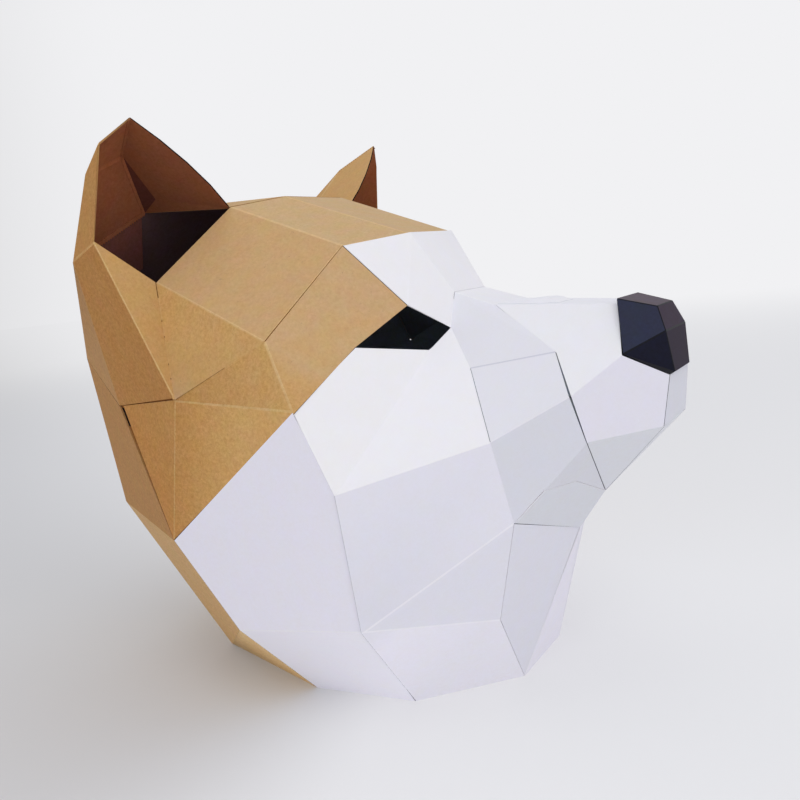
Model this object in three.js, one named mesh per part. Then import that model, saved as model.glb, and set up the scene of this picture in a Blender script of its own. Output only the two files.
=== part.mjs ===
// Paper animal mask: a wearable dog's head, glued up from folded sheets of card.
// Millimetres, +Z up. The nose points along -Y and the dog's left is +X. The origin is the middle of
// the mask's box on the flat neck rim. Every sheet is one folded piece of card with its own wall.
import * as THREE from 'three'

// Head
const headWidth = 268 // across the two corners below the ears
const headHeight = 305 // crown above the neck rim
const headLength = 260 // back of the head to the stop between the eyes

// Muzzle, from the stop to the front of the nose
const muzzleLength = 123
const muzzleWidth = 160 // across its root on the cheeks
const muzzleHeight = 141 // under the jaw to the bridge
const jawLevel = 86 // under the jaw, above the neck rim

// Nose cap
const noseWidth = 43
const noseLength = 28
const noseHeight = 41
const noseStep = 3 // how far its back edge stands proud of the muzzle

// Ears, from the foot beside the crown
const earWidth = 82
const earDepth = 64
const earHeight = 92 // tip above the front foot
const earRimBow = 4 // how far the rim on the crown side curves out

// Neck opening
const neckWidth = 174
const neckLength = 215
const neckSetback = 71 // its back edge, forward of the back of the head

// Card
const cardWall = 1
const seamGap = 0.3 // between two sheets
const cornerNip = 1.2 // how far a loose corner is drawn back from its seam
const noseNip = 0.6 // the same, for the muzzle's corner behind the nose

const backOfHead = (headLength + muzzleLength) / 2
const stop = backOfHead - headLength

// Corners of the dog's right half, as shares of the sizes that each section follows
const corners = new Map()

function addCorners(columns, rows, place) {
  for (const [name, shares] of Object.entries(rows)) {
    const share = Object.fromEntries(columns.map((column, i) => [column, shares[i]]))
    const [out, y, z] = place(share)
    corners.set(name, new THREE.Vector3(-out, y, z))
    if (out) corners.set('~' + name, new THREE.Vector3(out, y, z))
  }
}

addCorners(['out', 'back', 'up'], {
  crownBack: [0.235, 0.425, 1],
  crownFront: [0.2, 0.09, 0.89],
  stopSide: [0.155, 0.005, 0.77],
  browTop: [0.47, 0.185, 0.88],
  templeTop: [0.92, 0.245, 0.725],
  eyeTop: [0.39, 0.06, 0.757],
  eyeOuter: [0.66, 0.115, 0.695],
  eyeInner: [0.255, -0.005, 0.705],
  eyeLow: [0.375, 0.02, 0.67],
  cheekbone: [0.98, 0.17, 0.605],
  cheekMiddle: [0.96, 0.095, 0.46],
  cheekLow: [0.94, 0.075, 0.21],
  jowlBack: [0.98, 0.565, 0.35],
  jowlLow: [0.96, 0.41, 0.178],
  napeLow: [0.52, 1, 0.35],
  napeTop: [0.635, 0.99, 0.7],
  behindEar: [0.87, 0.745, 0.61],
  belowEar: [1, 0.485, 0.63],
  earFrontFoot: [0.88, 0.555, 0.85],
  earInnerFoot: [0.48, 0.49, 0.985],
  earBackCorner: [0.615, 0.705, 0.998],
  earHeel: [1.03, 0.725, 0.905],
}, ({ out, back, up }) => [out * headWidth / 2, stop + back * headLength, up * headHeight])

addCorners(['out', 'fore', 'up'], {
  rootTop: [0.6, 0.15, 0.757],
  rootMiddle: [0.925, 0.32, 0.5],
  rootLow: [0.865, 0.38, 0.175],
  bridgeSide: [0.295, 0.21, 0.99],
  flankTop: [0.48, 0.535, 0.8],
  flankMiddle: [0.675, 0.63, 0.643],
  flankLow: [0.625, 0.68, 0.462],
  lipBack: [0.765, 0.505, 0.292],
  lipMiddle: [0.46, 0.58, 0.286],
  muzzleTopCorner: [0.205, 0.77, 0.957],
  noseCorner: [0.44, 0.825, 0.777],
  chinTop: [0.255, 0.985, 0.68],
  chinLow: [0.305, 0.955, 0.487],
  lipFront: [0, 0.608, 0.176],
  jawKeel: [0, 0.467, 0.006],
}, ({ out, fore, up }) => [out * muzzleWidth / 2, stop - fore * muzzleLength, jawLevel + up * muzzleHeight])

addCorners(['out', 'fore', 'up'], {
  throatSide: [0.755, 1.025, 0.607],
  neckBack: [0.635, 0, 0],
  neckSide: [0.99, 0.46, 0],
  neckFrontSide: [0.91, 0.775, 0],
  neckFront: [0.34, 1, 0],
}, ({ out, fore, up }) => [
  out * neckWidth / 2, backOfHead - neckSetback - fore * neckLength, up * jawLevel,
])

const muzzleTop = corners.get('~muzzleTopCorner')
const noseFront = stop - muzzleLength
const noseRoot = muzzleTop.z + noseStep
addCorners(['out', 'back', 'down'], {
  noseTopBack: [0.93, 0.98, 0],
  noseTopFront: [0.75, 0.26, 0.14],
  noseSide: [1, 0.08, 0.455],
  noseLow: [0.77, 0, 1],
}, ({ out, back, down }) => [out * noseWidth / 2, noseFront + back * noseLength, noseRoot - down * noseHeight])

const earFoot = corners.get('~earInnerFoot')
const earFootLevel = corners.get('earFrontFoot').z
addCorners(['out', 'back', 'up'], {
  earTip: [0.735, 0.165, 0.99],
  earShoulder: [0.94, 0.315, 0.84],
  earElbow: [0.895, 0.605, 0.695],
  earBrow: [1.015, 0.45, 0.27],
  earHollowTop: [0.57, 0.57, 0.82],
  earHollowLow: [0.245, 0.65, 0.56],
}, ({ out, back, up }) => [
  earFoot.x + out * earWidth, earFoot.y + back * earDepth, earFootLevel + up * earHeight,
])

// The ear's rim on the crown side is cut to a curve, from the tip down to the inner foot
const rimStations = { earRimHigh: 0.25, earRimMiddle: 0.5, earRimLow: 0.75 }
for (const side of ['', '~']) {
  const [tip, foot, hollow] = ['earTip', 'earInnerFoot', 'earHollowTop'].map((name) => corners.get(side + name))
  const along = foot.clone().sub(tip)
  const bow = tip.clone().sub(hollow)
  bow.addScaledVector(along, -bow.dot(along) / along.lengthSq()).normalize()
  for (const [name, t] of Object.entries(rimStations)) {
    const point = tip.clone().addScaledVector(along, t).addScaledVector(bow, 4 * t * (1 - t) * earRimBow)
    corners.set(side + name, point)
  }
}

// Panels run counterclockwise seen from outside, and each is split in a fan from its first corner
function otherSide(name) {
  if (name.startsWith('~')) return name.slice(1)
  return corners.has('~' + name) ? '~' + name : name
}
const mirrored = (panels) => panels.map(([first, ...rest]) => [first, ...rest.reverse()].map(otherSide))
const bothSides = (panels) => [...panels, ...mirrored(panels)]
const panel = (names) => names.split(' ')

const crownPanels = [
  panel('crownBack crownFront ~crownFront ~crownBack'),
  ...bothSides([
    panel('earInnerFoot browTop crownFront crownBack'),
    panel('earInnerFoot earFrontFoot templeTop browTop'),
    panel('earFrontFoot belowEar templeTop'),
  ]),
]

const crownBackPanels = [
  panel('crownBack ~crownBack ~earBackCorner earBackCorner'),
  panel('earBackCorner ~earBackCorner ~napeTop napeTop'),
  ...bothSides([
    panel('earInnerFoot crownBack earBackCorner'),
    panel('earHeel earBackCorner napeTop'),
  ]),
]

const templePanels = [
  panel('eyeOuter eyeTop browTop templeTop cheekbone'),
  panel('templeTop belowEar cheekbone'),
  panel('belowEar jowlBack cheekbone'),
  panel('belowEar behindEar jowlBack'),
]

const earSidePanels = [
  panel('earBrow belowEar earFrontFoot'),
  panel('earHeel behindEar belowEar earBrow'),
  panel('earHeel napeTop behindEar'),
  panel('earShoulder earElbow earHeel earBrow'),
  panel('earTip earHollowTop earElbow earShoulder'),
  panel('earElbow earHollowTop earBackCorner earHeel'),
]

const earInnerPanels = [
  panel('earHollowTop earTip earRimHigh earRimMiddle earRimLow earInnerFoot earHollowLow'),
  panel('earHollowLow earInnerFoot earBackCorner'),
  panel('earHollowTop earHollowLow earBackCorner'),
]

const headBackPanels = [
  panel('napeTop ~napeTop ~napeLow napeLow'),
  panel('napeLow ~napeLow ~neckBack neckBack'),
  ...bothSides([
    panel('behindEar napeTop napeLow jowlBack'),
    panel('jowlLow jowlBack napeLow neckBack'),
    panel('jowlLow neckBack neckSide'),
  ]),
]

const foreheadPanels = [
  panel('crownFront stopSide ~stopSide ~crownFront'),
  ...bothSides([
    panel('browTop eyeTop crownFront'),
    panel('eyeTop eyeInner stopSide crownFront'),
  ]),
]

const muzzleBandPanels = [
  panel('bridgeSide ~bridgeSide ~stopSide stopSide'),
  ...bothSides([
    panel('stopSide eyeInner rootTop flankTop bridgeSide'),
    panel('rootTop rootMiddle flankMiddle flankTop'),
    panel('rootMiddle rootLow lipBack flankLow flankMiddle'),
    panel('lipMiddle lipFront flankLow lipBack'),
  ]),
]

const muzzleTopPanels = [
  panel('bridgeSide muzzleTopCorner ~muzzleTopCorner ~bridgeSide'),
  ...bothSides([
    panel('flankTop flankMiddle noseCorner muzzleTopCorner bridgeSide'),
    panel('flankMiddle flankLow chinLow chinTop noseCorner'),
    panel('flankLow lipFront chinLow'),
  ]),
]

const chinPanels = [
  panel('chinTop chinLow ~chinLow ~chinTop'),
  panel('chinLow lipFront ~chinLow'),
]

const nosePanels = [
  panel('noseTopBack noseTopFront ~noseTopFront ~noseTopBack'),
  panel('noseTopFront noseSide ~noseSide ~noseTopFront'),
  panel('noseSide noseLow ~noseLow ~noseSide'),
  ...bothSides([
    panel('noseCorner noseSide noseTopFront noseTopBack'),
    panel('noseCorner noseLow noseSide'),
    panel('noseCorner chinTop noseLow'),
  ]),
]

const cheekPanels = [
  panel('cheekbone cheekMiddle eyeLow eyeOuter'),
  panel('eyeLow cheekMiddle rootMiddle rootTop eyeInner'),
  panel('cheekMiddle cheekLow rootLow rootMiddle'),
  panel('cheekLow throatSide rootLow'),
  panel('cheekLow neckFrontSide neckFront throatSide'),
]

const jowlPanels = [
  panel('jowlBack jowlLow cheekLow cheekMiddle cheekbone'),
  panel('jowlLow neckSide neckFrontSide cheekLow'),
]

const jawPanels = bothSides([
  panel('jawKeel lipFront lipMiddle lipBack rootLow'),
])

const throatPanels = [
  panel('jawKeel neckFront ~neckFront'),
  ...bothSides([panel('rootLow throatSide neckFront jawKeel')]),
]

// Card colours
const kraft = { color: '#bd945f', roughness: 0.85, metalness: 0 }
const white = { color: '#e6e3ea', roughness: 0.8, metalness: 0 }
const black = { color: '#26262c', roughness: 0.7, metalness: 0 }

// A nip draws a loose corner back from the seam that runs to the corner named beside it
const templeNips = { behindEar: { seam: 'jowlBack', back: cornerNip } }
const earSideNips = { belowEar: { seam: 'behindEar', back: cornerNip } }
const noseNips = { noseCorner: { seam: 'chinTop', back: noseNip } }
const mirroredNips = (nips) => Object.fromEntries(Object.entries(nips).map(
  ([name, { seam, back }]) => [otherSide(name), { seam: otherSide(seam), back }],
))

const sheets = [
  { name: 'crown', card: kraft, panels: crownPanels },
  { name: 'crown_back', card: kraft, panels: crownBackPanels },
  { name: 'temple_right', card: kraft, panels: templePanels, nips: templeNips },
  { name: 'ear_side_right', card: kraft, panels: earSidePanels, nips: earSideNips },
  { name: 'ear_inner_right', card: kraft, panels: earInnerPanels },
  { name: 'temple_left', card: kraft, panels: mirrored(templePanels), nips: mirroredNips(templeNips) },
  { name: 'ear_side_left', card: kraft, panels: mirrored(earSidePanels), nips: mirroredNips(earSideNips) },
  { name: 'ear_inner_left', card: kraft, panels: mirrored(earInnerPanels) },
  { name: 'head_back', card: kraft, panels: headBackPanels },
  { name: 'forehead', card: white, panels: foreheadPanels },
  { name: 'muzzle_band', card: white, panels: muzzleBandPanels },
  {
    name: 'muzzle_top', card: white, panels: muzzleTopPanels,
    nips: { ...noseNips, ...mirroredNips(noseNips) },
  },
  { name: 'chin', card: white, panels: chinPanels },
  { name: 'nose', card: black, panels: nosePanels },
  { name: 'cheek_right', card: white, panels: cheekPanels },
  { name: 'jowl_right', card: white, panels: jowlPanels },
  { name: 'cheek_left', card: white, panels: mirrored(cheekPanels) },
  { name: 'jowl_left', card: white, panels: mirrored(jowlPanels) },
  { name: 'jaw', card: white, panels: jawPanels },
  { name: 'throat', card: white, panels: throatPanels },
]

// The outward normal of a panel, by Newell's rule
function panelNormal(names) {
  const normal = new THREE.Vector3()
  names.forEach((name, i) => {
    const next = corners.get(names[(i + 1) % names.length])
    normal.add(corners.get(name).clone().cross(next))
  })
  return normal.normalize()
}

const allPanels = sheets.flatMap((sheet) => (
  sheet.panels.map((names) => ({ sheet, names, normal: panelNormal(names) }))
))
const panelsAt = new Map([...corners.keys()].map((name) => [name, []]))
const panelAlong = new Map()
for (const entry of allPanels) {
  entry.names.forEach((name, i) => {
    panelsAt.get(name).push(entry)
    panelAlong.set(`${name} ${entry.names[(i + 1) % entry.names.length]}`, entry)
  })
}

// The shortest move that goes the wished distance along each wished direction, in the least squares sense
const stiffness = 1e-4
const firm = 100
function shortestMove(wishes) {
  const grid = [stiffness, 0, 0, 0, stiffness, 0, 0, 0, stiffness]
  const pull = new THREE.Vector3()
  for (const { direction, distance, weight = 1 } of wishes) {
    const n = direction.toArray()
    grid.forEach((_, i) => { grid[i] += weight * n[i % 3] * n[Math.floor(i / 3)] })
    pull.addScaledVector(direction, weight * distance)
  }
  return pull.applyMatrix3(new THREE.Matrix3().set(...grid).invert())
}

// A rim corner stays on the floor, so the neck rim is flat right across the wall
const up = new THREE.Vector3(0, 0, 1)
const stayOnFloor = (name) => (corners.get(name).z === 0 ? [{ direction: up, distance: 0, weight: firm }] : [])

// From a corner on the outer face to the same corner on the inner face, shared by all sheets that meet there
const throughCard = new Map([...corners.keys()].map((name) => {
  const wishes = panelsAt.get(name).map(({ normal }) => ({ direction: normal, distance: -cardWall }))
  return [name, shortestMove([...wishes, ...stayOnFloor(name)])]
}))

// The two edges of a panel that meet at a corner
function edgesAt({ names }, name) {
  const i = names.indexOf(name)
  return [[names.at(i - 1), name], [name, names[(i + 1) % names.length]]]
}

// The panels of one sheet that hang together round a corner, so two tips that only touch stay apart
function fanAt(entry, name) {
  const fan = [entry]
  for (const member of fan) {
    for (const [from, to] of edgesAt(member, name)) {
      const neighbour = panelAlong.get(`${to} ${from}`)
      if (neighbour?.sheet === entry.sheet && !fan.includes(neighbour)) fan.push(neighbour)
    }
  }
  return fan
}

// How far a fan's corner is drawn in from the seams there, within the fan's own panels
function drawnIn(fan, name) {
  const wishes = stayOnFloor(name)
  for (const entry of fan) {
    const { sheet, normal } = entry
    wishes.push({ direction: normal, distance: 0 })
    for (const [from, to] of edgesAt(entry, name)) {
      const neighbour = panelAlong.get(`${to} ${from}`)
      if (!neighbour || neighbour.sheet === sheet) continue
      const along = corners.get(to).clone().sub(corners.get(from))
      const inward = normal.clone().add(neighbour.normal).cross(along).normalize()
      const nip = sheet.nips?.[name]
      const back = nip?.seam === (from === name ? to : from) ? nip.back : 0
      wishes.push({ direction: inward, distance: seamGap / 2 + back })
    }
  }
  return shortestMove(wishes)
}

// A sheet of card: its outer face, its inner face, and the cut edge all round
function foldedSheet(sheet) {
  const spots = []
  const spotOf = (entry, name) => {
    const known = spots.findIndex((spot) => spot.name === name && spot.fan.includes(entry))
    return known < 0 ? spots.push({ name, fan: fanAt(entry, name) }) - 1 : known
  }
  const outer = (spot) => 2 * spot
  const inner = (spot) => 2 * spot + 1
  const index = []
  for (const entry of allPanels.filter(({ sheet: owner }) => owner === sheet)) {
    const [first, ...rest] = entry.names.map((name) => spotOf(entry, name))
    for (const [i, b] of rest.slice(0, -1).entries()) {
      const c = rest[i + 1]
      index.push(outer(first), outer(b), outer(c), inner(first), inner(c), inner(b))
    }
    for (const name of entry.names) {
      const [, [, next]] = edgesAt(entry, name)
      if (panelAlong.get(`${next} ${name}`)?.sheet === sheet) continue
      const [a, b] = [spotOf(entry, name), spotOf(entry, next)]
      // Both sheets at a seam split its twisted edge along the same diagonal
      if (name < next) index.push(outer(b), outer(a), inner(a), outer(b), inner(a), inner(b))
      else index.push(outer(b), outer(a), inner(b), outer(a), inner(a), inner(b))
    }
  }
  const position = spots.flatMap(({ name, fan }) => {
    const point = corners.get(name).clone().add(drawnIn(fan, name))
    return [...point.toArray(), ...point.add(throughCard.get(name)).toArray()]
  })
  const geometry = new THREE.BufferGeometry()
  geometry.setAttribute('position', new THREE.Float32BufferAttribute(position, 3))
  geometry.setIndex(index)
  return geometry
}

const mask = new THREE.Group()
for (const sheet of sheets) {
  const material = new THREE.MeshStandardMaterial({ ...sheet.card, flatShading: true })
  const mesh = new THREE.Mesh(foldedSheet(sheet), material)
  mesh.name = sheet.name
  mask.add(mesh)
}

export default mask
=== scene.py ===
# Paper animal mask: a dog's head glued up from folded sheets of kraft, white and black card.
# Every sheet keeps the form of its solid, but for two corners that have sprung open. Here its folds are
# rounded over, its cut edges are broken, and it gets the finish of real card, with light and shade painted
# into its colours.
import math

import bpy
from mathutils import Matrix, Vector
from mathutils.geometry import intersect_point_line


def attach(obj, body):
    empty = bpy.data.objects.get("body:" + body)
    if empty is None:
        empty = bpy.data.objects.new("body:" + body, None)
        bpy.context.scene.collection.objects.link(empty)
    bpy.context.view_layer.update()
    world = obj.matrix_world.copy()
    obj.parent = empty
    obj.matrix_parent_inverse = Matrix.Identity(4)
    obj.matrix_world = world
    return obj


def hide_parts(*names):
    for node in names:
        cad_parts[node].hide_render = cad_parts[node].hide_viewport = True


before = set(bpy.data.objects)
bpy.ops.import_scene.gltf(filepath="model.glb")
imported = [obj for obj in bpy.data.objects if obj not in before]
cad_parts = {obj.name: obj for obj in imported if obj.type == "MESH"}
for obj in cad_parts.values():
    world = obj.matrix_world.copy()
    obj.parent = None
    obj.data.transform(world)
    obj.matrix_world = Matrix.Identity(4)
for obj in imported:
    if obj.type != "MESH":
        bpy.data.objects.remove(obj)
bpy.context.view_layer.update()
bpy.ops.object.select_all(action="DESELECT")

MM = 0.001


# Colours and shader nodes
def linear(hex_colour):
    """The linear colour that a shader takes, from an sRGB hex value."""
    channels = [int(hex_colour[i : i + 2], 16) / 255 for i in (1, 3, 5)]
    return [*(c / 12.92 if c <= 0.04045 else ((c + 0.055) / 1.055) ** 2.4 for c in channels), 1.0]


def socket(sockets, name):
    """The socket with that identifier or name."""
    return next(s for s in sockets if name in (s.identifier, s.name))


def add_node(tree, kind, settings=None, links=None):
    """Adds a shader node, sets its properties and sockets, and links its inputs to (node, output) pairs."""
    made = tree.nodes.new(kind)
    for name, value in (settings or {}).items():
        if name in made.bl_rna.properties:
            setattr(made, name, value)
        else:
            socket(made.inputs, name).default_value = value
    for name, (source, output) in (links or {}).items():
        tree.links.new(socket(source.outputs, output), socket(made.inputs, name))
    return made


# A card's shade depends on how far a panel faces this way, so its colour holds painted light and shade. The
# way and the shades were set from the panels' tones in the photograph, so they hold part of its light.
LIT_WAY = Vector((-0.14, -0.46, 0.88)).normalized()
# Blender's noise hardly leaves this range, so it is what the patterns are stretched from
NOISE_LOW, NOISE_HIGH = (0.3, 0.3, 0.3), (0.7, 0.7, 0.7)


def card_material(name, shades, clouding, mottle, roughness, gloss, grain):
    """Uncoated card of pressed wood fibres: cloudy, mottled, with dark specks and a fine tooth.

    shades gives its colour by lean, from -1 for a panel that faces away from LIT_WAY to 1 for one that faces
    that way. clouding and mottle say how far those change it, and grain how deep the tooth is."""
    material = bpy.data.materials.new(name)
    material.use_nodes = True
    tree = material.node_tree
    tree.nodes.clear()
    place = add_node(tree, "ShaderNodeTexCoord")
    lean = add_node(
        tree, "ShaderNodeVectorMath", {"operation": "DOT_PRODUCT", "Vector_001": LIT_WAY},
        {"Vector": (place, "Normal")},
    )
    share = add_node(
        tree, "ShaderNodeMapRange", {"From Min": -1.0, "From Max": 1.0}, {"Value": (lean, "Value")},
    )
    # The colour by lean is painted light and shade
    shade = add_node(tree, "ShaderNodeValToRGB", links={"Fac": (share, "Result")})
    elements = shade.color_ramp.elements
    while len(elements) < len(shades):
        elements.new(0.5)
    for element, (position, colour) in zip(elements, shades):
        element.position = (position + 1) / 2
        element.color = linear(colour)
    # Clouds about 10 mm across, some a little pinker or greener, where the fibres clump
    clouds = add_node(
        tree, "ShaderNodeTexNoise", {"Scale": 1 / (10 * MM), "Detail": 3.0, "Roughness": 0.6},
        {"Vector": (place, "Object")},
    )
    cloudy = add_node(
        tree, "ShaderNodeMapRange",
        {
            "data_type": "FLOAT_VECTOR", "From_Min_FLOAT3": NOISE_LOW, "From_Max_FLOAT3": NOISE_HIGH,
            "To_Min_FLOAT3": (1 - clouding, 1 - 1.2 * clouding, 1 - 3 * clouding),
            "To_Max_FLOAT3": (1 + clouding, 1 + 1.2 * clouding, 1 + 3 * clouding),
        },
        {"Vector": (clouds, "Color")},
    )
    # Single fibres are too fine to show in the render, so they are drawn as a mottle about 2 mm across
    fibres = add_node(
        tree, "ShaderNodeTexNoise",
        {"Scale": 1 / (2 * MM), "Detail": 3.0, "Roughness": 0.8, "Distortion": 0.4},
        {"Vector": (place, "Object")},
    )
    fibrous = add_node(
        tree, "ShaderNodeMapRange",
        {
            "data_type": "FLOAT_VECTOR", "From_Min_FLOAT3": NOISE_LOW, "From_Max_FLOAT3": NOISE_HIGH,
            "To_Min_FLOAT3": (1 - mottle, 1 - 1.4 * mottle, 1 - 2.2 * mottle),
            "To_Max_FLOAT3": (1 + mottle, 1 + 1.4 * mottle, 1 + 2.2 * mottle),
        },
        {"Vector": (fibres, "Fac")},
    )
    # The mottle shows most on panels that face away from LIT_WAY
    grazed = add_node(
        tree, "ShaderNodeMapRange", {"From Min": 0.0, "From Max": 0.8, "To Min": 1.0, "To Max": 0.4},
        {"Value": (lean, "Value")},
    )
    mottled = add_node(
        tree, "ShaderNodeMix",
        {"data_type": "VECTOR", "A_Vector": (1.0, 1.0, 1.0)},
        {"Factor_Float": (grazed, "Result"), "B_Vector": (fibrous, "Vector")},
    )
    # Specks of bark, under 1 mm across
    bark = add_node(
        tree, "ShaderNodeTexNoise", {"Scale": 1 / (1.8 * MM), "Detail": 1.0}, {"Vector": (place, "Object")},
    )
    specked = add_node(
        tree, "ShaderNodeMapRange", {"From Min": 0.72, "From Max": 0.8, "To Min": 1.0, "To Max": 1 - mottle},
        {"Value": (bark, "Fac")},
    )
    tinted = add_node(
        tree, "ShaderNodeVectorMath", {"operation": "MULTIPLY"},
        {"Vector": (shade, "Color"), "Vector_001": (cloudy, "Vector")},
    )
    textured = add_node(
        tree, "ShaderNodeVectorMath", {"operation": "MULTIPLY"},
        {"Vector": (tinted, "Vector"), "Vector_001": (mottled, "Result_Vector")},
    )
    finished = add_node(
        tree, "ShaderNodeVectorMath", {"operation": "SCALE"},
        {"Vector": (textured, "Vector"), "Scale": (specked, "Result")},
    )
    tooth = add_node(
        tree, "ShaderNodeTexNoise", {"Scale": 1 / (0.8 * MM), "Detail": 4.0, "Roughness": 0.7},
        {"Vector": (place, "Object")},
    )
    bump = add_node(
        tree, "ShaderNodeBump", {"Strength": grain, "Distance": 0.08 * MM}, {"Height": (tooth, "Fac")},
    )
    surface = add_node(
        tree, "ShaderNodeBsdfPrincipled", {"Roughness": roughness, "IOR": 1.45, "Specular IOR Level": gloss},
        {"Base Color": (finished, "Vector"), "Normal": (bump, "Normal")},
    )
    add_node(tree, "ShaderNodeOutputMaterial", links={"Surface": (surface, "BSDF")})
    return material


def plain(hex_colour):
    """Shades of a card that has the same colour whichever way it faces."""
    return [(-1.0, hex_colour), (1.0, hex_colour)]


# Uncoated kraft card: brown and dull, with a mottle of fibres, and shades by lean that are painted light and
# shade
KRAFT = [
    (-0.57, "#f0c98c"), (-0.4, "#d2a468"), (-0.16, "#ba8343"), (0.05, "#c38845"), (0.12, "#bf8a4a"),
    (0.37, "#cb9e60"), (0.72, "#c99d61"), (0.81, "#c8a273"), (0.86, "#c8a06c"), (0.96, "#c9a673"),
    (1.0, "#ccaa7c"),
]
# Kraft card is paler along its folds, a painted highlight, and its shades there by lean are painted light and
# shade
KRAFT_FOLD = [(-0.7, "#dab883"), (-0.3, "#bf8e54"), (0.0, "#c8995d"), (0.25, "#d0a86e"), (1.0, "#d7b584")]
kraft = card_material("kraft card", KRAFT, 0.03, 0.17, 0.7, 0.5, 0.25)
kraft_fold = card_material("kraft card, creased", KRAFT_FOLD, 0.03, 0.17, 0.9, 0.4, 0.4)
kraft_cut = card_material("kraft card, cut edge", plain("#a87c4c"), 0.05, 0.15, 0.9, 0.3, 0.4)
kraft_tab = card_material("kraft card, glue tab", plain("#8c5a2c"), 0.05, 0.15, 0.9, 0.2, 0.4)
# The ears' inner faces are redder, partly the card's own colour and partly painted bounce light from the
# kraft, and darker with painted shade the deeper they lie and by lean
RUSSET = [(-1.0, "#8e5031"), (-0.5, "#865034"), (-0.1, "#9a5c3c"), (1.0, "#9a5c3c")]
kraft_inner = card_material("kraft card, inner face", RUSSET, 0.05, 0.12, 0.9, 0.2, 0.25)
# The flaps' dark brown is painted shade
kraft_flap = card_material("kraft card, shaded flap", plain("#7e4c43"), 0.05, 0.12, 0.9, 0.1, 0.25)
EAR_SHADOW = [(0.0, "#62362c"), (0.5, "#140b09")]
ear_lining = card_material("kraft card, shaded inner face", EAR_SHADOW, 0.05, 0.12, 0.9, 0.1, 0.25)
# Smooth white card, a little blue, with hardly any mottle, and shades by lean that are painted light and
# shade
WHITE = [
    (-0.37, "#f8f6ff"), (-0.05, "#edebf3"), (0.13, "#f0edf7"), (0.23, "#e3e2eb"), (0.42, "#e7e5ee"),
    (0.73, "#f3f1f2"), (0.8, "#f0eef0"), (0.87, "#f2f0f3"), (1.0, "#f0eef2"),
]
white = card_material("white card", WHITE, 0.006, 0.012, 0.7, 0.5, 0.08)
# White card is paler along its folds, a painted highlight, and its shades there by lean are painted light and
# shade
WHITE_FOLD = [(-0.37, "#fcfaff"), (0.2, "#efedf4"), (0.42, "#efedf3"), (0.73, "#f3f1f3"), (1.0, "#f0eef2")]
white_fold = card_material("white card, creased", WHITE_FOLD, 0.006, 0.015, 0.8, 0.5, 0.12)
white_cut = card_material("white card, cut edge", plain("#f4f2f6"), 0.01, 0.02, 0.8, 0.5, 0.2)
# The muzzle's white card is painted a little greyer as shade, and the band's greyer still; their shades by
# lean are painted light and shade too
MUZZLE = [
    (-0.36, "#dfe0e6"), (-0.08, "#dcdde3"), (0.33, "#dcdce4"), (0.42, "#e7e4ee"), (0.6, "#eceaf0"),
    (0.68, "#f1f0f3"), (0.8, "#f0eff3"), (1.0, "#f2f0f3"),
]
BAND = [
    (-0.36, "#dfe0e6"), (-0.08, "#dbdbe2"), (0.33, "#dcdce4"), (0.42, "#e4e2ea"), (0.6, "#e8e7ed"),
    (0.8, "#e9e8ee"), (1.0, "#f0eef0"),
]
band_white = card_material("white card, band, painted shade", BAND, 0.006, 0.012, 0.7, 0.5, 0.08)
muzzle_white = card_material("white card, muzzle, painted shade", MUZZLE, 0.006, 0.012, 0.7, 0.5, 0.08)
muzzle_fold = card_material("white card, muzzle, painted shade, creased", MUZZLE, 0.006, 0.015, 0.8, 0.5, 0.12)
# One fold of the muzzle band is drawn grey
muzzle_grey_fold = card_material("white card, grey fold", plain("#d4d3dd"), 0.006, 0.015, 0.8, 0.5, 0.12)
# Black card, smooth, with a faint sheen; its shades by lean are painted light and shade, the lightest a
# painted sheen on the nose's top
BLACK = [(0.29, "#1d1e2c"), (0.55, "#352d39"), (0.69, "#333648"), (0.74, "#3e3442"), (0.97, "#62585f")]
black = card_material("black card", BLACK, 0.03, 0.1, 0.6, 0.05, 0.1)
black_fold = card_material("black card, creased", plain("#17171f"), 0.03, 0.2, 0.5, 0.12, 0.2)
black_cut = card_material("black card, cut edge", plain("#1c1c22"), 0.03, 0.1, 0.7, 0.3, 0.2)
# The inner faces in the head get a dull colour of painted shade, so that seams show no light and the eyes are
# dark
head_shade_blue = card_material("inner face, painted shade, blue-grey", plain("#7b8894"), 0.05, 0.1, 0.95, 0.1, 0.1)
head_shade_brown = card_material("inner face, painted shade, brown", plain("#644a4a"), 0.05, 0.1, 0.95, 0.1, 0.1)
head_shade_grey = card_material("inner face, painted shade, grey", plain("#8c919e"), 0.05, 0.1, 0.95, 0.1, 0.1)
# Seams that show as thin dark lines get dark rims of painted shade
kraft_seam_shade = card_material("kraft card edge, painted seam shade", plain("#5a3f2c"), 0.05, 0.1, 0.9, 0.2, 0.2)
white_seam_shade = card_material("white card edge, painted seam shade", plain("#7d7d85"), 0.05, 0.1, 0.9, 0.2, 0.2)

# Each card's finishes, in the order of the names below: panel, fold, cut edge, dark edge of painted seam
# shade, inner face in the head painted as shade and, for kraft card, shaded and open inner face in the ears
CARDS = {
    "kraft_card": (kraft, kraft_fold, kraft_cut, kraft_seam_shade, head_shade_blue, ear_lining, kraft_inner),
    "back": (kraft, kraft_fold, kraft_cut, kraft_seam_shade, head_shade_brown),
    "white_card": (white, white_fold, white_cut, white_seam_shade, head_shade_grey),
    "band": (band_white, muzzle_fold, white_cut, white_seam_shade, head_shade_grey),
    "muzzle": (muzzle_white, muzzle_fold, white_cut, white_seam_shade, head_shade_grey),
    "black_card": (black, black_fold, black_cut, white_seam_shade, head_shade_grey),
}
OWN_CARD = {
    "muzzle_band": "band", "muzzle_top": "muzzle", "chin": "muzzle", "jaw": "muzzle",
    "head_back": "back", "crown_back": "back",
}
PANEL, CREASE, CUT_EDGE, SHADED_EDGE, HEAD_INSIDE, EAR_SHADE, EAR_INSIDE = range(7)
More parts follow.
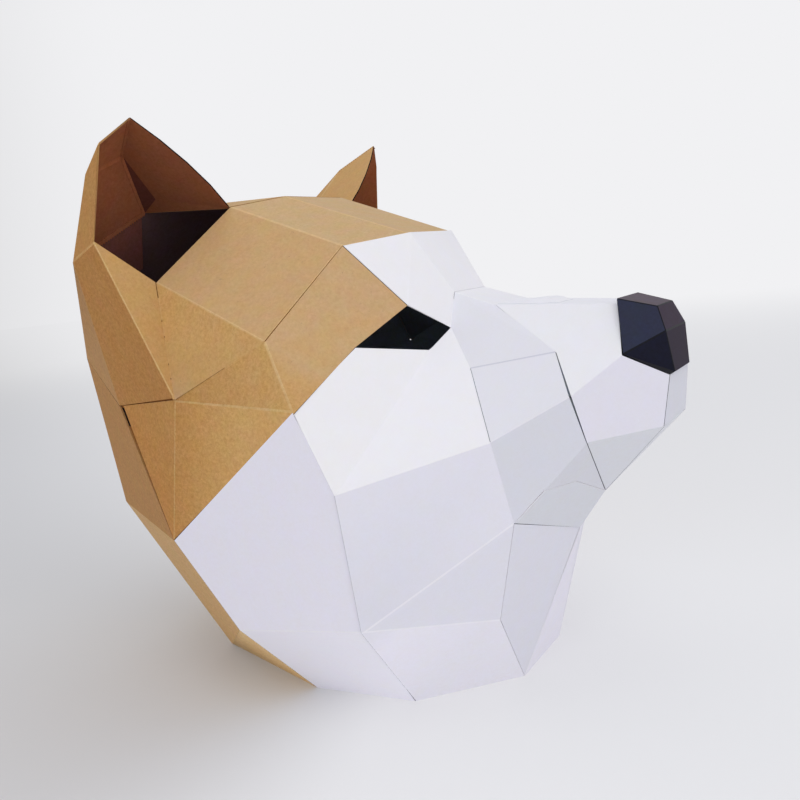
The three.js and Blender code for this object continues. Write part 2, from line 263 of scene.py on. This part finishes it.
SHEETS = {
    "kraft_card": (
        "crown", "crown_back", "head_back", "temple_right", "temple_left", "ear_side_right",
        "ear_side_left", "ear_inner_right", "ear_inner_left",
    ),
    "white_card": (
        "forehead", "muzzle_band", "muzzle_top", "chin", "cheek_right", "cheek_left",
        "jowl_right", "jowl_left", "jaw", "throat",
    ),
    "black_card": ("nose",),
}


# Modelling helpers
def start_edit(piece):
    bpy.ops.object.select_all(action="DESELECT")
    bpy.context.view_layer.objects.active = piece
    piece.select_set(True)
    bpy.ops.object.mode_set(mode="EDIT")


def pick(piece, points=None, edges=None):
    """In edit mode, selects the points or edges that a test accepts."""
    bpy.ops.object.mode_set(mode="OBJECT")
    mesh = piece.data
    for group in (mesh.vertices, mesh.edges, mesh.polygons):
        group.foreach_set("select", [False] * len(group))
    for item in mesh.edges if edges else mesh.vertices:
        item.select = bool((edges or points)(item))
    bpy.ops.object.mode_set(mode="EDIT")
    bpy.ops.mesh.select_mode(type="EDGE" if edges else "VERT")


def is_cut_edge(mesh):
    """A test for the narrow faces round a sheet's cut edge."""

    def test(face):
        girth = sum((mesh.vertices[a].co - mesh.vertices[b].co).length for a, b in face.edge_keys)
        return face.area < NARROW * girth

    return test


def faces_at_edges(mesh):
    """The two faces' indices at each edge, by its pair of vertices."""
    faces = {}
    for face in mesh.polygons:
        for key in face.edge_keys:
            faces.setdefault(key, []).append(face.index)
    return {key: pair for key, pair in faces.items() if len(pair) == 2}


# The sheets
FLAT = math.radians(2)
FOLD = math.radians(5)
SMOOTH_UNDER = math.radians(35)
# A face with less area than this for each length of its girth belongs to a sheet's cut edge
NARROW = 1.2 * MM
# The middles of the hollows, which a sheet's inner faces look towards
HEAD_MIDDLE = Vector((0, 20, 150)) * MM
EAR_MIDDLE = Vector((115, 88, 290)) * MM
# Inside an ear, in mm: panels above the first height are open to the light, apart from small ones above the
# second, and those above the third are in its shade
EAR_OPEN_ABOVE, EAR_SMALL_BELOW, EAR_SHADE_ABOVE = 295, 312, 250
EAR_PANEL_AREA = 500 * MM * MM
# Along the ears' backs: the least angle of a fold, how far a side wall turns sideways,
# and where a back starts
EAR_FOLD = math.radians(15)
EAR_SIDE_TURN = 0.8
EAR_BACK = 78 * MM

# Corners of the dog's right half in mm, as the solids have them
STOP_SIDE = (-20.8, -67.2, 234.8)
EYE_INNER = (-34.2, -69.8, 215.0)
TEMPLE_TOP = (-123.3, -4.8, 221.1)
BELOW_EAR = (-134.0, 57.6, 192.2)
BEHIND_EAR = (-116.6, 125.2, 186.0)
EAR_FRONT_FOOT = (-117.9, 75.8, 259.2)
EAR_BACK_CORNER = (-82.4, 114.8, 304.4)
EAR_HEEL = (-138.0, 120.0, 276.0)
ROOT_TOP = (-48.0, -87.0, 192.7)
ROOT_MIDDLE = (-74.0, -107.9, 156.5)
ROOT_LOW = (-69.2, -115.2, 110.7)
BRIDGE_SIDE = (-23.6, -94.3, 225.6)
FLANK_TOP = (-38.4, -134.3, 198.8)
FLANK_MIDDLE = (-54.0, -146.0, 176.7)
CORNER_REACH = 4 * MM


def place_of(corner, mirror=1):
    """A corner's place in metres, or its twin's on the dog's left with a mirror of -1."""
    x, y, z = corner
    return Vector((x * mirror, y, z)) * MM


# Seams that gape enough to look dark, whose rims get painted shade: the sheets, and the highest place in mm
# up to which they do
DARK_SEAMS = (
    ({"muzzle_band", "muzzle_top"}, 200), ({"jaw", "throat"}, 400), ({"chin", "muzzle_top"}, 400),
    ({"head_back", "ear_side_right"}, 400), ({"head_back", "ear_side_left"}, 400),
    ({"cheek_right", "jowl_right"}, 130), ({"cheek_left", "jowl_left"}, 130),
)
# Corners that have sprung open: the sheet, the corner, and how far it has moved, in mm. The photograph shows
# them on the right, and the left copies them.
OPEN_CORNERS = (
    ("muzzle_top", FLANK_MIDDLE, (0.4, -0.55, 0.4)),
    ("temple_right", BEHIND_EAR, (-0.9, -3.5, 0.3)),
)

# By card, or by sheet where one differs: how wide a dark rim is, how far a fold is rounded over to each side,
# and how far a cut edge is broken
DARK_RIM_WIDTH = {"kraft_card": 0.26 * MM, "white_card": 0.1 * MM, "black_card": 0.1 * MM}
FOLD_WIDTH = {
    "kraft_card": 0.8 * MM, "head_back": 0.55 * MM, "white_card": 0.55 * MM, "black_card": 0.55 * MM,
}
EDGE_BREAK = 0.12 * MM
# Folds drawn grey on both sides: the sheet and the ends
GREY_FOLDS = (("muzzle_band", ROOT_TOP, FLANK_TOP),)
GREY_FOLD_REACH = 1.5 * MM


def is_grey_fold(node, place):
    """Whether a place on a sheet lies on one of its grey folds."""
    place = Vector((-abs(place.x), place.y, place.z))
    for sheet, start, end in GREY_FOLDS:
        nearest, share = intersect_point_line(place, place_of(start), place_of(end))
        if sheet == node and 0 < share < 1 and (place - nearest).length < GREY_FOLD_REACH:
            return True
    return False


def panel_edge(mesh, panel, key):
    """A panel's edge: its ends, the way its face looks, the way across the panel, and the panel's depth.

    The runs say how far the panel's sides lean in from each end, for each length across it."""
    start, end = (mesh.vertices[i].co.copy() for i in key)
    across = panel.normal.cross(end - start).normalized()
    if across.dot(panel.center - start) < 0:
        across = -across
    ring = list(panel.vertices)
    runs = []
    for near, far in (key, key[::-1]):
        place = ring.index(near)
        beside = [ring[place - 1], ring[(place + 1) % len(ring)]]
        beside.remove(far)
        away = mesh.vertices[beside[0]].co - mesh.vertices[near].co
        inner = (mesh.vertices[far].co - mesh.vertices[near].co).normalized()
        runs.append(away.dot(inner) / max(away.dot(across), 0.01 * MM))
    depth = max((mesh.vertices[i].co - start).dot(across) for i in ring)
    return {
        "start": start, "end": end, "inward": panel.normal.copy(), "across": across,
        "start_run": runs[0], "end_run": runs[1], "depth": depth,
        "in_ear": panel.material_index == EAR_INSIDE,
    }


def plain_sheet(node, slot_name):
    """A copy of a sheet's solid with its panels made whole, its inner faces and its cut edge told apart."""
    piece = bpy.data.objects.new(node + "_sheet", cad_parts[node].data.copy())
    bpy.context.scene.collection.objects.link(piece)
    piece.data.materials.clear()
    for material in CARDS[OWN_CARD.get(node, slot_name)]:
        piece.data.materials.append(material)
    start_edit(piece)
    bpy.ops.mesh.select_all(action="SELECT")
    bpy.ops.mesh.remove_doubles(threshold=0.01 * MM)
    bpy.ops.mesh.dissolve_limited(angle_limit=FLAT)
    bpy.ops.object.mode_set(mode="OBJECT")
    narrow = is_cut_edge(piece.data)
    is_ear = node.startswith("ear_")
    middle = (EAR_MIDDLE if is_ear else HEAD_MIDDLE).copy()
    if node == "ear_side_right" or node == "ear_inner_right":
        middle.x = -middle.x
    # Inner faces get painted shade in the head, and painted light and shade in the ears
    for face in piece.data.polygons:
        if narrow(face):
            face.material_index = CUT_EDGE
        elif face.normal.dot(middle - face.center) > 0:
            height = face.center.z / MM
            is_open = face.area > EAR_PANEL_AREA or height < EAR_SMALL_BELOW
            if is_ear and height > EAR_OPEN_ABOVE and is_open:
                face.material_index = EAR_INSIDE
            else:
                face.material_index = EAR_SHADE if is_ear and height > EAR_SHADE_ABOVE else HEAD_INSIDE
    return piece


def seam_edges(piece, inner=True):
    """The inner or outer edge of each stretch of a sheet's cut edge."""
    mesh = piece.data
    found = []
    for key, pair in faces_at_edges(mesh).items():
        first, second = (mesh.polygons[i] for i in pair)
        rim, panel = (first, second) if first.material_index == CUT_EDGE else (second, first)
        side = panel.material_index >= HEAD_INSIDE if inner else panel.material_index == PANEL
        if rim.material_index == CUT_EDGE and side:
            found.append({**panel_edge(mesh, panel, key), "rim": rim.index})
    return found


def same_seam(one, other, near=2.5 * MM):
    """Whether two edges of sheets lie along one seam."""
    return any(
        (one["start"] - other[first]).length < near and (one["end"] - other[last]).length < near
        for first, last in (("start", "end"), ("end", "start"))
    )


def bevel_rims(piece, wanted, **bevel):
    """Breaks the edges between a panel and its cut edge whose two faces have the wanted finishes."""
    faces = piece.data.polygons
    rims = {
        key for key, (i, j) in faces_at_edges(piece.data).items()
        if wanted(*sorted((faces[i].material_index, faces[j].material_index)))
    }
    start_edit(piece)
    pick(piece, edges=lambda edge: edge.key in rims)
    bpy.ops.mesh.bevel(**bevel)
    bpy.ops.object.mode_set(mode="OBJECT")


def finished_sheet(node, piece, slot_name):
    """The sheet as real card: its folds rounded over and its cut edges broken."""
    folds = set()
    points = piece.data.vertices
    faces = piece.data.polygons
    for key, (i, j) in faces_at_edges(piece.data).items():
        if faces[i].material_index == faces[j].material_index == PANEL:
            middle = (points[key[0]].co + points[key[1]].co) / 2
            if faces[i].normal.angle(faces[j].normal) > FOLD or is_grey_fold(node, middle):
                folds.add(key)
    start_edit(piece)
    pick(piece, edges=lambda edge: edge.key in folds)
    width = FOLD_WIDTH.get(node, FOLD_WIDTH[slot_name])
    bpy.ops.mesh.bevel(offset=width, segments=3, material=CREASE, clamp_overlap=True)
    bpy.ops.object.mode_set(mode="OBJECT")
    if node in [fold[0] for fold in GREY_FOLDS]:
        piece.data.materials.append(muzzle_grey_fold)
        for face in piece.data.polygons:
            if face.material_index == CREASE and is_grey_fold(node, face.center):
                face.material_index = len(piece.data.materials) - 1
    # With this profile the dark line of painted seam shade beside a dark edge lies flat on the panel
    bevel_rims(
        piece, lambda one, other: (one, other) in ((PANEL, SHADED_EDGE), (CREASE, SHADED_EDGE)), segments=2,
        profile=1.0, offset=DARK_RIM_WIDTH[slot_name], material=SHADED_EDGE, clamp_overlap=False,
    )
    edges = (CUT_EDGE, SHADED_EDGE)
    bevel_rims(
        piece,
        lambda one, other: (one in edges) != (other in edges) and SHADED_EDGE not in (one, other),
        offset=EDGE_BREAK, clamp_overlap=True,
    )
    bpy.ops.object.shade_smooth_by_angle(angle=SMOOTH_UNDER)
    # A rim stays sharp beside its panel, so that it doesn't bend the panel's shading
    faces = piece.data.polygons
    rims = {
        key for key, (i, j) in faces_at_edges(piece.data).items()
        if (faces[i].material_index in edges) != (faces[j].material_index in edges)
    }
    start_edit(piece)
    pick(piece, edges=lambda edge: edge.key in rims)
    bpy.ops.mesh.mark_sharp()
    bpy.ops.object.mode_set(mode="OBJECT")
    # The rims of the ears' inner walls get the ears' painted shade, as dark as the hollow behind them
    if node.startswith("ear_inner"):
        for face in piece.data.polygons:
            if face.material_index == CUT_EDGE:
                face.material_index = EAR_SHADE
    weigh = piece.modifiers.new("flat panels", "WEIGHTED_NORMAL")
    weigh.keep_sharp = True
    weigh.weight = 100
    bpy.ops.object.modifier_apply(modifier=weigh.name)
    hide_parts(node)
    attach(piece, "root")


def ear_inner_edges(piece):
    """The seams and the fold deep in an ear's hollow, along the panels at its back."""
    mesh = piece.data
    found = []
    for key, pair in faces_at_edges(mesh).items():
        other, panel = sorted((mesh.polygons[i] for i in pair), key=lambda face: face.material_index)
        if panel.material_index != EAR_INSIDE:
            continue
        seam = other.material_index in (CUT_EDGE, SHADED_EDGE)
        fold = other.material_index == EAR_INSIDE and panel.normal.angle(other.normal) > EAR_FOLD
        if fold and other.center.z < panel.center.z:
            other, panel = panel, other
        open_faces = [face for face in (panel, other) if face.material_index == EAR_INSIDE]
        side_wall = max(abs(face.normal.x) for face in open_faces) > EAR_SIDE_TURN
        middle = (mesh.vertices[key[0]].co + mesh.vertices[key[1]].co) / 2
        if (seam or fold) and not side_wall and middle.y > EAR_BACK:
            found.append(panel_edge(mesh, panel, key))
    return found


sheets = {node: plain_sheet(node, card) for card, nodes in SHEETS.items() for node in nodes}
card_of = {node: card for card, nodes in SHEETS.items() for node in nodes}
seams = {node: seam_edges(piece) for node, piece in sheets.items()}
ear_edges = [
    edge for side in ("right", "left") for edge in ear_inner_edges(sheets["ear_side_" + side])
]
outer_edges = {node: seam_edges(piece, inner=False) for node, piece in sheets.items()}
# The outer edge of a rim lies this near its inner edge
RIM_REACH = 5 * MM
# Pairs of inner edges that lie along one seam
joints = [
    (node, own, neighbour, theirs)
    for i, node in enumerate(sheets) for neighbour in list(sheets)[i + 1 :]
    for own in seams[node] for theirs in seams[neighbour] if same_seam(own, theirs)
]
# Rims along seams that gape, and a kraft or black sheet's rims where it meets another card, get painted seam
# shade
for node, own, neighbour, theirs in joints:
    height = (own["start"].z + own["end"].z) / 2
    gapes = any(pair == {node, neighbour} and height < top * MM for pair, top in DARK_SEAMS)
    differ = card_of[node] != card_of[neighbour]
    for sheet, edge in ((node, own), (neighbour, theirs)):
        if gapes or differ and card_of[sheet] != "white_card":
            for rim in [edge, *(other for other in outer_edges[sheet] if same_seam(edge, other, RIM_REACH))]:
                sheets[sheet].data.polygons[rim["rim"]].material_index = SHADED_EDGE
for node, corner, way in OPEN_CORNERS:
    for side, mirror in (("right", 1), ("left", -1)):
        piece = sheets[node.replace("right", side)]
        corner_there = place_of(corner, mirror)
        start_edit(piece)
        pick(piece, points=lambda point: (point.co - corner_there).length < CORNER_REACH)
        bpy.ops.transform.translate(value=place_of(way, mirror))
        bpy.ops.object.mode_set(mode="OBJECT")
for node, piece in sheets.items():
    finished_sheet(node, piece, card_of[node])

# Glue tabs: the strips behind the seams that hold the sheets together
TAB_DEPTH = 9 * MM
TAB_SLANT = 5 * MM
# A tab laps back under its own sheet by this much past the seam's gap, within these limits
LAP_PAST_GAP, TAB_LAP, LONGEST_LAP = 0.4 * MM, 0.5 * MM, 2.5 * MM
TAB_CARD = 0.4 * MM
# A tab's depth and its two slants take up at most these shares of the panel's depth and the seam's length
TAB_SHARE, SLANT_SHARE = 0.7, 0.9
# How far strips and tabs lie under their panel, and how far above the floor they end
UNDER_PANEL = 0.05 * MM
ABOVE_FLOOR = 0.2 * MM
# Tabs that start short of a corner: the sheet, the corner and how far short
TAB_TRIMS = (
    ("head_back", place_of(BEHIND_EAR), 14 * MM),
    ("head_back", place_of(BEHIND_EAR, -1), 14 * MM),
    ("crown", place_of(BELOW_EAR, -1), 5 * MM),
)


def lay_strip(strip, middle, across, inward):
    """Moves a flat strip from the origin to its seam, with its width across it and its back inward."""
    turn = Matrix((across.cross(inward), across, inward)).transposed().to_4x4()
    strip.matrix_world = Matrix.Translation(middle) @ turn
    bpy.ops.object.transform_apply(location=True, rotation=True, scale=True)
    return strip


def flat_strip(length, width):
    """A strip of card at the origin, with its back face up."""
    bpy.ops.mesh.primitive_plane_add(size=1, location=(0, 0, 0))
    strip = bpy.context.object
    strip.scale = (length, width, 1)
    bpy.ops.object.transform_apply(location=True, rotation=True, scale=True)
    return strip


def thicken(strip, thickness):
    card = strip.modifiers.new("card", "SOLIDIFY")
    card.thickness = thickness
    card.offset = 1
    bpy.ops.object.modifier_apply(modifier=card.name)


def glue_tab(node, own, edge):
    """A tab from its own sheet's edge under the next panel, slanted so that it stays on that panel."""
    start, end, across, inward = (edge[name] for name in ("start", "end", "across", "inward"))
    along = (end - start).normalized()
    for sheet, spot, trim in TAB_TRIMS:
        if sheet == node and (start - spot).length < CORNER_REACH:
            start = start + along * trim
        if sheet == node and (end - spot).length < CORNER_REACH:
            end = end - along * trim
    gap = max((start - own[name]).dot(across) for name in ("start", "end"))
    lap = min(max(gap + LAP_PAST_GAP, TAB_LAP), LONGEST_LAP)
    length = (end - start).length
    depth = min(TAB_DEPTH, TAB_SHARE * edge["depth"])
    slants = [max(TAB_SLANT, depth * max(edge[run], 0) + MM) for run in ("start_run", "end_run")]
    if (start - end).dot(across.cross(inward)) > 0:
        slants.reverse()
    if sum(slants) > SLANT_SHARE * length:
        shrink = SLANT_SHARE * length / sum(slants)
        depth, slants = depth * shrink, [slant * shrink for slant in slants]
    tab = flat_strip(length, depth + lap)
    start_edit(tab)
    pick(tab, points=lambda point: point.co.y > 0)
    bpy.ops.transform.resize(value=(1 - sum(slants) / length, 1, 1))
    bpy.ops.transform.translate(value=((slants[0] - slants[1]) / 2, 0, 0))
    bpy.ops.object.mode_set(mode="OBJECT")
    thicken(tab, TAB_CARD)
    # The tabs' faces get the head's painted shade, apart from a kraft tab's own face
    for material in (kraft_tab if card_of[node] == "kraft_card" else head_shade_grey, head_shade_blue):
        tab.data.materials.append(material)
    for face in tab.data.polygons:
        face.material_index = 0 if face.normal.z < -0.5 else 1
    middle = (start + end) / 2 + across * (depth - lap) / 2 + inward * UNDER_PANEL
    return lay_strip(tab, middle, across, inward)


# The toothed strips' tooth spacing and depth, their width without teeth, their card, and their shift back
TOOTH_PITCH, TOOTH_DEPTH = 2 * MM, 1.3 * MM
TOOTHED_WIDTH, TOOTHED_CARD, TOOTHED_SHIFT = 2.4 * MM, 0.25 * MM, 0.6 * MM


def toothed_strip(edge):
    """A narrow strip with a saw-toothed edge, for the ears' inner seams."""
    start, end, across, inward = (edge[name] for name in ("start", "end", "across", "inward"))
    length = (end - start).length
    teeth = max(4, round(length / TOOTH_PITCH))
    strip = flat_strip(length, TOOTHED_WIDTH)

    def is_long_side(side):
        first, last = (strip.data.vertices[i].co.y for i in side.vertices)
        return abs(first - last) < MM

    start_edit(strip)
    pick(strip, edges=is_long_side)
    bpy.ops.mesh.subdivide(number_cuts=2 * teeth - 1)
    bpy.ops.object.mode_set(mode="OBJECT")
    step = length / (2 * teeth)
    start_edit(strip)
    pick(strip, points=lambda point: point.co.y > 0 and round((point.co.x + length / 2) / step) % 2 == 1)
    bpy.ops.transform.translate(value=(0, TOOTH_DEPTH, 0))
    bpy.ops.object.mode_set(mode="OBJECT")
    thicken(strip, TOOTHED_CARD)
    middle = (start + end) / 2 + across * TOOTHED_SHIFT + inward * UNDER_PANEL
    return lay_strip(strip, middle, -across, inward)


def join_strips(strips, name, material=None):
    """Makes strips one piece, of one material unless they already have theirs."""
    bpy.ops.object.select_all(action="DESELECT")
    for strip in strips:
        strip.select_set(True)
    bpy.context.view_layer.objects.active = strips[0]
    bpy.ops.object.join()
    joined = bpy.context.object
    joined.name = name
    if material:
        joined.data.materials.append(material)
    # No tab reaches below the neck rim
    for point in joined.data.vertices:
        point.co.z = max(point.co.z, ABOVE_FLOOR)
    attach(joined, "root")


# Seams that look folded or closed: two sheets, the ends, and the closed stretches as shares of the seam
CLOSED_SEAMS = (
    ("muzzle_band", "cheek_right", EYE_INNER, ROOT_TOP, ((0.0, 1.0),)),
    ("muzzle_band", "cheek_right", ROOT_MIDDLE, ROOT_LOW, ((0.0, 1.0),)),
    ("muzzle_band", "forehead", STOP_SIDE, EYE_INNER, ((0.2, 1.0),)),
    ("muzzle_band", "muzzle_top", BRIDGE_SIDE, FLANK_TOP, ((0.15, 1.0),)),
    ("crown", "temple_right", TEMPLE_TOP, BELOW_EAR, ((0.0, 0.43),)),
    (
        "crown", "ear_side_right", EAR_FRONT_FOOT, BELOW_EAR,
        ((0.14, 0.33), (0.345, 0.465), (0.48, 0.7), (0.715, 0.82), (0.835, 1.0)),
    ),
)
CLOSING_WIDTH, CLOSING_CARD, CLOSING_DEPTH = 1.6 * MM, 0.3 * MM, 0.12 * MM


def edge_between(edges, start, end):
    """The edge of a sheet that runs between two corners, turned to start at the first."""
    edge = min(edges, key=lambda edge: min(
        (edge["start"] - start).length + (edge["end"] - end).length,
        (edge["start"] - end).length + (edge["end"] - start).length,
    ))
    ends = (edge["start"], edge["end"])
    if (ends[0] - start).length > (ends[1] - start).length:
        ends = ends[::-1]
    return (*ends, edge["inward"])


def closing_strips(first, second, start, end, stretches):
    """Narrow strips of card just under the surface, which close stretches of a seam."""
    one, other = (edge_between(outer_edges[node], start, end) for node in (first, second))
    start, end = (one[0] + other[0]) / 2, (one[1] + other[1]) / 2
    inward = -(one[2] + other[2]).normalized()
    along = end - start
    across = inward.cross(along).normalized()
    inward = along.cross(across).normalized()
    strips = []
    for low, high in stretches:
        strip = flat_strip(along.length * (high - low), CLOSING_WIDTH)
        thicken(strip, CLOSING_CARD)
        middle = start + along * (low + high) / 2 + inward * CLOSING_DEPTH
        strips.append(lay_strip(strip, middle, across, inward))
    return strips


tabs = {"kraft_card": [], "white_card": []}
for node, own, neighbour, theirs in joints:
    if not neighbour.startswith("ear_inner") and not theirs["in_ear"]:
        tabs[card_of[node]].append(glue_tab(node, own, theirs))
join_strips(tabs["kraft_card"], "kraft_glue_tabs")
join_strips(tabs["white_card"], "white_glue_tabs")
join_strips([toothed_strip(edge) for edge in ear_edges], "ear_toothed_tabs", kraft_inner)

# A broad flap of each ear's side wall, which hangs inside the head under the ear's back corner: its way, its
# depth, how much shorter than the ear's back it is, and how much shorter still its lower edge is
FLAP_WAY = Vector((0.44, 0.46, -0.77))
FLAP_DEPTH = 38 * MM
FLAP_SHORTER, FLAP_TAPER = 6 * MM, 14 * MM


def ear_flap(mirror):
    """The flap of the right ear, or of the left with a mirror of -1."""
    corner, heel = (place_of(place, mirror) for place in (EAR_BACK_CORNER, EAR_HEEL))
    way = Vector((FLAP_WAY.x * mirror, FLAP_WAY.y, FLAP_WAY.z))
    along = heel - corner
    across = (way - way.project(along)).normalized()
    inward = along.cross(across).normalized() * mirror
    flap = flat_strip(along.length - FLAP_SHORTER, FLAP_DEPTH)
    start_edit(flap)
    pick(flap, points=lambda point: point.co.y > 0)
    bpy.ops.transform.resize(value=(1 - FLAP_TAPER / along.length, 1, 1))
    bpy.ops.object.mode_set(mode="OBJECT")
    thicken(flap, TAB_CARD)
    return lay_strip(flap, (corner + heel) / 2 + across * (FLAP_DEPTH / 2 + MM), across, inward)


join_strips([ear_flap(1), ear_flap(-1)], "ear_flaps", kraft_flap)
closings = {"kraft_card": [], "white_card": []}
for first, second, start, end, stretches in CLOSED_SEAMS:
    for side, mirror in (("right", 1), ("left", -1)):
        ends = [place_of(corner, mirror) for corner in (start, end)]
        closings[card_of[first]] += closing_strips(first, second.replace("right", side), *ends, stretches)
join_strips(closings["kraft_card"], "kraft_seam_strips", kraft)
join_strips(closings["white_card"], "white_seam_strips", muzzle_white)

# The tongue of the muzzle band that laps over the bridge of the muzzle and stands a little proud
TONGUE_BACK, TONGUE_FRONT = -91 * MM, -128 * MM
TONGUE_WIDTH = 38 * MM
TONGUE_CARD = 0.4 * MM
# Its edges, outside this share of its width, stay this many mm above the bridge
TONGUE_EDGE, EDGE_RISE = 0.45, 0.1
# Its rows: place from -1 at its front to 1 at its back, rise in mm, and share of the full width
TONGUE_ROWS = (
    (-1.0, 0.1, 0.62), (-0.75, 1.9, 0.68), (-0.5, 2.2, 0.82), (-0.25, 2.0, 0.9), (0.0, 1.5, 0.95),
    (0.25, 0.9, 0.98), (0.5, 0.5, 1.0), (0.75, 0.3, 1.0), (1.0, 0.2, 1.0),
)
# The bridge drops this far over this length, in mm
BRIDGE_SLOPE = math.atan(4.7 / 68.9)


def bridge_height(y):
    """How high the bridge of the muzzle is, at a place along it."""
    back = place_of(BRIDGE_SIDE)
    return back.z + (y - back.y) * math.tan(BRIDGE_SLOPE)


bpy.ops.object.select_all(action="DESELECT")
bpy.ops.mesh.primitive_grid_add(
    x_subdivisions=6, y_subdivisions=len(TONGUE_ROWS) - 1, size=1, location=(0, 0, 0),
)
tongue = bpy.context.object
tongue.scale = (TONGUE_WIDTH, TONGUE_BACK - TONGUE_FRONT, 1)
bpy.ops.object.transform_apply(location=True, rotation=True, scale=True)
half = (TONGUE_BACK - TONGUE_FRONT) / 2
for share, rise, width in TONGUE_ROWS:
    row = share * half
    edge = TONGUE_EDGE * width * TONGUE_WIDTH
    start_edit(tongue)
    pick(tongue, points=lambda point: abs(point.co.y - row) < MM)
    bpy.ops.transform.resize(value=(width, 1, 1))
    bpy.ops.transform.translate(value=(0, 0, rise * MM))
    pick(tongue, points=lambda point: abs(point.co.y - row) < MM and abs(point.co.x) > edge)
    bpy.ops.transform.translate(value=(0, 0, -(rise - EDGE_RISE) * MM))
    bpy.ops.object.mode_set(mode="OBJECT")
thicken(tongue, -TONGUE_CARD)
middle_y = (TONGUE_BACK + TONGUE_FRONT) / 2
middle = Vector((0, middle_y, bridge_height(middle_y) + EDGE_RISE * MM))
tongue.matrix_world = Matrix.Translation(middle) @ Matrix.Rotation(BRIDGE_SLOPE, 4, "X")
bpy.ops.object.transform_apply(location=True, rotation=True, scale=True)
tongue.name = "bridge_tongue"
tongue.data.materials.append(muzzle_white)
bpy.ops.object.shade_smooth_by_angle(angle=SMOOTH_UNDER)
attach(tongue, "root")


# Studio: a pale floor, soft lights and the photograph's camera
AIR = linear("#f1f1f3")
CEILING = linear("#b4b7c0")
# One wall is dark, so that the mask is lit as in the photograph: the way to it, and its share of the light
SHADED_SIDE = Vector((-0.55, 0.83, 0.0))
SHADED_SHARE = 0.3


def studio_wall(tree, direction):
    """The colour of the studio's pale walls in a direction, with the dark one behind the mask's right ear."""
    turned = add_node(
        tree, "ShaderNodeVectorMath", {"operation": "DOT_PRODUCT", "Vector_001": SHADED_SIDE},
        {"Vector": direction},
    )
    share = add_node(
        tree, "ShaderNodeMapRange",
        {
            "From Min": 0.2, "From Max": 0.9, "To Min": 1.0, "To Max": SHADED_SHARE,
            "interpolation_type": "SMOOTHSTEP",
        },
        {"Value": (turned, "Value")},
    )
    return add_node(
        tree, "ShaderNodeVectorMath", {"operation": "SCALE", "Vector": AIR[:3]}, {"Scale": (share, "Result")},
    )


bpy.ops.mesh.primitive_circle_add(vertices=96, radius=12, fill_type="NGON", location=(0, 0, 0))
floor = bpy.context.object
floor.name = "studio_floor"
floor_paint = bpy.data.materials.new("pale studio floor, matt painted")
floor_paint.use_nodes = True
tree = floor_paint.node_tree
floor_surface = tree.nodes["Principled BSDF"]
floor_surface.inputs["Base Color"].default_value = linear("#f4f3f2")
floor_surface.inputs["Roughness"].default_value = 0.9
# Far off, the floor fades into a glow of the studio walls' colour, so that its far edge hardly shows
place = add_node(tree, "ShaderNodeTexCoord")
distance = add_node(tree, "ShaderNodeVectorMath", {"operation": "LENGTH"}, {"Vector": (place, "Object")})
direction = add_node(tree, "ShaderNodeVectorMath", {"operation": "NORMALIZE"}, {"Vector": (place, "Object")})
fade = add_node(
    tree, "ShaderNodeMapRange",
    {"From Min": 0.4, "From Max": 3.6, "To Min": 0.3, "interpolation_type": "SMOOTHSTEP"},
    {"Value": (distance, "Value")},
)
far_off = add_node(
    tree, "ShaderNodeEmission", links={"Color": (studio_wall(tree, (direction, "Vector")), "Vector")},
)
mixed = add_node(
    tree, "ShaderNodeMixShader",
    links={"Fac": (fade, "Result"), "Shader": (floor_surface, "BSDF"), "Shader_001": (far_off, "Emission")},
)
tree.links.new(mixed.outputs["Shader"], tree.nodes["Material Output"].inputs["Surface"])
floor.data.materials.append(floor_paint)

world = bpy.data.worlds.new("studio air")
bpy.context.scene.world = world
world.use_nodes = True
tree = world.node_tree
direction = add_node(tree, "ShaderNodeTexCoord")
height = add_node(tree, "ShaderNodeSeparateXYZ", links={"Vector": (direction, "Generated")})
rise = add_node(
    tree, "ShaderNodeMapRange", {"From Min": 0.28, "From Max": 0.55, "interpolation_type": "SMOOTHSTEP"},
    {"Value": (height, "Z")},
)
walls_and_ceiling = add_node(
    tree, "ShaderNodeMix", {"data_type": "RGBA", "B_Color": CEILING},
    {"Factor_Float": (rise, "Result"), "A_Color": (studio_wall(tree, (direction, "Generated")), "Vector")},
)
tree.links.new(socket(walls_and_ceiling.outputs, "Result_Color"), tree.nodes["Background"].inputs["Color"])


MASK_MIDDLE = Vector((0, 0, 0.17))


def softbox(name, place, size, power):
    """A square soft light at a place in metres, aimed at the mask's middle, with its size in metres."""
    lamp = bpy.data.lights.new(name, "AREA")
    lamp.shape = "SQUARE"
    lamp.size = size
    lamp.energy = power
    light = bpy.data.objects.new(name, lamp)
    bpy.context.scene.collection.objects.link(light)
    light.location = place
    light.rotation_euler = (MASK_MIDDLE - Vector(place)).to_track_quat("-Z", "Y").to_euler()


softbox("key_light", (-1.2, -1.6, 1.8), 1.4, 8)
softbox("overhead_light", (0.0, 0.0, 2.5), 3.0, 19)
softbox("side_light", (-2.4, 0.1, 0.9), 1.4, 7)

# The photograph's camera, from a fit to the mask's corners in it: its place in metres, the ways that it and
# its top face, and its lens in mm
CAMERA_PLACE = (-0.4706, -0.3040, 0.2525)
CAMERA_AHEAD = Vector((0.8365, 0.5260, -0.1532))
CAMERA_OVER = Vector((0.1864, -0.0103, 0.9824))
lens = bpy.data.cameras.new("camera")
lens.lens = 38.25
lens.sensor_width = 36.0
lens.clip_start = 0.01
camera = bpy.data.objects.new("camera", lens)
bpy.context.scene.collection.objects.link(camera)
ahead = CAMERA_AHEAD.normalized()
right = ahead.cross(CAMERA_OVER).normalized()
over = right.cross(ahead)
turn = Matrix((right, over, -ahead)).transposed().to_4x4()
camera.matrix_world = Matrix.Translation(CAMERA_PLACE) @ turn
bpy.context.scene.camera = camera
bpy.context.scene.view_settings.view_transform = "Standard"
